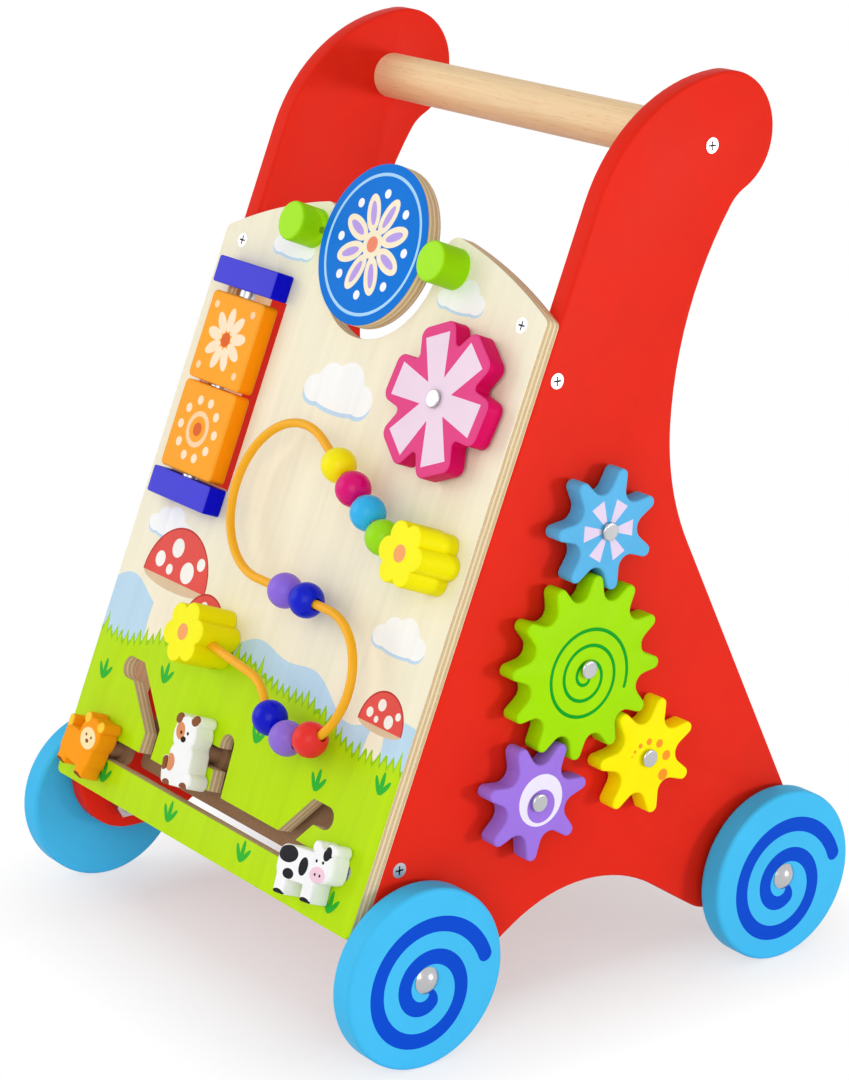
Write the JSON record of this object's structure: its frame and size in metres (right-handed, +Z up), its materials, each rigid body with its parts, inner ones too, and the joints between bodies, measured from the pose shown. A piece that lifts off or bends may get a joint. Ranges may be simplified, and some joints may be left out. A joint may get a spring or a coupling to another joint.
{
  "type": "baby push walker",
  "caption": "Wooden baby push walker: side panels on wheels, round handle bar, sloping activity board with bead maze, spinner, flip tiles and slot sliders, and meshing gears on one side.",
  "frame": {"origin": "on the floor, midway between the four wheels", "axes": "+Z up, -Y towards the front where the activity board faces, +X towards the side with the gears"},
  "size_m": [0.3362, 0.353, 0.5063],
  "materials": {
    "red_paint": "satin paint on wood",
    "plywood": "clear-coated plywood with printed grass and clouds",
    "beech": "satin clear coat",
    "steel": "zinc-plated, smooth",
    "blue_paint": "satin paint on wood",
    "green_paint": "satin paint on wood",
    "yellow_paint": "satin paint on wood",
    "purple_paint": "satin paint on wood",
    "disc_blue": "printed plywood",
    "orange_paint": "satin paint on wood",
    "violet_blue_paint": "satin paint on wood",
    "pink_paint": "satin paint on wood",
    "wire_coat": "glossy coating on steel wire",
    "bead_yellow": "glossy lacquer",
    "bead_magenta": "glossy lacquer",
    "bead_sky": "glossy lacquer",
    "bead_green": "glossy lacquer",
    "bead_violet": "glossy lacquer",
    "bead_navy": "glossy lacquer",
    "bead_red": "glossy lacquer",
    "white_paint": "satin paint on wood",
    "brown_board": "bare fibreboard"
  },
  "bodies": {
    "frame": {"left_panel": "red_paint", "right_panel": "red_paint", "activity_board": "plywood", "left_batten": "beech", "right_batten": "beech", "handle_bar": "beech", "panel_screws": "steel", "board_screws": "steel", "axle_bolts": "steel", "axle_nuts": "steel", "wheel_washers": "steel", "gear_pins": "steel", "gear_washers": "steel", "left_knob": "green_paint", "right_knob": "green_paint", "disc_rod": "steel", "upper_bracket": "violet_blue_paint", "lower_bracket": "violet_blue_paint", "tile_rod": "steel", "tile_washers": "steel", "upper_post": "yellow_paint", "lower_post": "yellow_paint", "bead_wire": "wire_coat", "flower_pin": "steel", "flower_washer": "steel", "toy_screws": "steel", "guard_plate": "brown_board", "guard_spacers": "beech", "guard_screws": "steel"},
    "front_right_wheel": {"front_right_wheel": "blue_paint"},
    "front_left_wheel": {"front_left_wheel": "blue_paint"},
    "rear_right_wheel": {"rear_right_wheel": "blue_paint"},
    "rear_left_wheel": {"rear_left_wheel": "blue_paint"},
    "drive_gear": {"drive_gear": "green_paint"},
    "upper_gear": {"upper_gear": "blue_paint"},
    "rear_gear": {"rear_gear": "yellow_paint"},
    "front_gear": {"front_gear": "purple_paint"},
    "turning_disc": {"turning_disc": "disc_blue"},
    "upper_tile": {"upper_tile": "orange_paint"},
    "lower_tile": {"lower_tile": "orange_paint"},
    "flower_spinner": {"flower_spinner": "pink_paint"},
    "yellow_bead": {"yellow_bead": "bead_yellow"},
    "magenta_bead": {"magenta_bead": "bead_magenta"},
    "sky_bead": {"sky_bead": "bead_sky"},
    "green_bead": {"green_bead": "bead_green"},
    "violet_bead": {"violet_bead": "bead_violet"},
    "navy_bead": {"navy_bead": "bead_navy"},
    "purple_bead": {"purple_bead": "bead_violet"},
    "blue_bead": {"blue_bead": "bead_navy"},
    "red_bead": {"red_bead": "bead_red"},
    "lion": {"lion_slider": "orange_paint", "lion_peg": "beech", "lion_disc": "brown_board"},
    "dog": {"dog_slider": "white_paint", "dog_peg": "beech", "dog_disc": "brown_board"},
    "cow": {"cow_slider": "white_paint", "cow_peg": "beech", "cow_disc": "brown_board"}
  },
  "joints": [
    {"name": "front_right_wheel_spin", "type": "hinge", "parent": "frame", "child": "front_right_wheel", "pos_m": [0.157, -0.1265, 0.05], "axis": [1, 0, 0], "continuous": true},
    {"name": "front_left_wheel_spin", "type": "hinge", "parent": "frame", "child": "front_left_wheel", "pos_m": [-0.157, -0.1265, 0.05], "axis": [1, 0, 0], "continuous": true},
    {"name": "rear_right_wheel_spin", "type": "hinge", "parent": "frame", "child": "rear_right_wheel", "pos_m": [0.157, 0.1265, 0.05], "axis": [1, 0, 0], "continuous": true},
    {"name": "rear_left_wheel_spin", "type": "hinge", "parent": "frame", "child": "rear_left_wheel", "pos_m": [-0.157, 0.1265, 0.05], "axis": [1, 0, 0], "continuous": true},
    {"name": "drive_gear_spin", "type": "hinge", "parent": "frame", "child": "drive_gear", "pos_m": [0.154, -0.0228, 0.2001], "axis": [1, 0, 0], "continuous": true},
    {"name": "upper_gear_spin", "type": "hinge", "parent": "frame", "child": "upper_gear", "pos_m": [0.154, -0.01267, 0.27408], "axis": [1, 0, 0], "continuous": true},
    {"name": "rear_gear_spin", "type": "hinge", "parent": "frame", "child": "rear_gear", "pos_m": [0.154, 0.02307, 0.14118], "axis": [1, 0, 0], "continuous": true},
    {"name": "front_gear_spin", "type": "hinge", "parent": "frame", "child": "front_gear", "pos_m": [0.154, -0.05281, 0.13173], "axis": [1, 0, 0], "continuous": true},
    {"name": "disc_spin", "type": "hinge", "parent": "frame", "child": "turning_disc", "pos_m": [0, -0.04762, 0.39953], "axis": [1, 0, 0], "continuous": true},
    {"name": "upper_tile_flip", "type": "hinge", "parent": "frame", "child": "upper_tile", "pos_m": [-0.098, -0.07585, 0.33006], "axis": [0, 0.3486, 0.9373], "continuous": true},
    {"name": "lower_tile_flip", "type": "hinge", "parent": "frame", "child": "lower_tile", "pos_m": [-0.098, -0.09433, 0.28038], "axis": [0, 0.3486, 0.9373], "continuous": true},
    {"name": "flower_spin", "type": "hinge", "parent": "frame", "child": "flower_spinner", "pos_m": [0.0965, -0.07493, 0.33756], "axis": [0, -0.9373, 0.3486], "continuous": true},
    {"name": "yellow_bead_slide", "type": "slide", "parent": "frame", "child": "yellow_bead", "axis": [-0.8947, 0.1557, 0.4187], "range_m": [0, 0.01]},
    {"name": "magenta_bead_slide", "type": "slide", "parent": "frame", "child": "magenta_bead", "axis": [-0.8947, 0.1557, 0.4187], "range_m": [0, 0.01]},
    {"name": "sky_bead_slide", "type": "slide", "parent": "frame", "child": "sky_bead", "axis": [-0.8947, 0.1557, 0.4187], "range_m": [0, 0.01]},
    {"name": "green_bead_slide", "type": "slide", "parent": "frame", "child": "green_bead", "axis": [-0.8947, 0.1557, 0.4187], "range_m": [0, 0.01]},
    {"name": "violet_bead_slide", "type": "slide", "parent": "frame", "child": "violet_bead", "axis": [1, 0, 0], "range_m": [-0.015, 0.008]},
    {"name": "navy_bead_slide", "type": "slide", "parent": "frame", "child": "navy_bead", "axis": [1, 0, 0], "range_m": [-0.015, 0.008]},
    {"name": "purple_bead_travel", "type": "hinge", "parent": "frame", "child": "purple_bead", "pos_m": [0.07, -0.13875, 0.19176], "axis": [0, -0.9373, 0.3486], "range_deg": [-2, 120]},
    {"name": "blue_bead_travel", "type": "hinge", "parent": "frame", "child": "blue_bead", "pos_m": [0.07, -0.13875, 0.19176], "axis": [0, -0.9373, 0.3486], "range_deg": [-2, 120]},
    {"name": "red_bead_travel", "type": "hinge", "parent": "frame", "child": "red_bead", "pos_m": [0.07, -0.13875, 0.19176], "axis": [0, -0.9373, 0.3486], "range_deg": [-2, 120]},
    {"name": "lion_slide", "type": "slide", "parent": "frame", "child": "lion", "axis": [1, 0, 0], "range_m": [0, 0.054]},
    {"name": "dog_slide", "type": "slide", "parent": "frame", "child": "dog", "axis": [1, 0, 0], "range_m": [0, 0.019]},
    {"name": "cow_slide", "type": "slide", "parent": "frame", "child": "cow", "axis": [-1, 0, 0], "range_m": [0, 0.06]}
  ],
  "couplings": [
    {"joint": "upper_gear_spin", "follows": "drive_gear_spin", "ratio": -1.7143},
    {"joint": "rear_gear_spin", "follows": "drive_gear_spin", "ratio": -1.7143},
    {"joint": "front_gear_spin", "follows": "drive_gear_spin", "ratio": -1.7143},
    {"joint": "magenta_bead_slide", "follows": "yellow_bead_slide", "ratio": 1},
    {"joint": "sky_bead_slide", "follows": "yellow_bead_slide", "ratio": 1},
    {"joint": "green_bead_slide", "follows": "yellow_bead_slide", "ratio": 1},
    {"joint": "navy_bead_slide", "follows": "violet_bead_slide", "ratio": 1},
    {"joint": "blue_bead_travel", "follows": "purple_bead_travel", "ratio": 1},
    {"joint": "red_bead_travel", "follows": "purple_bead_travel", "ratio": 1}
  ]
}
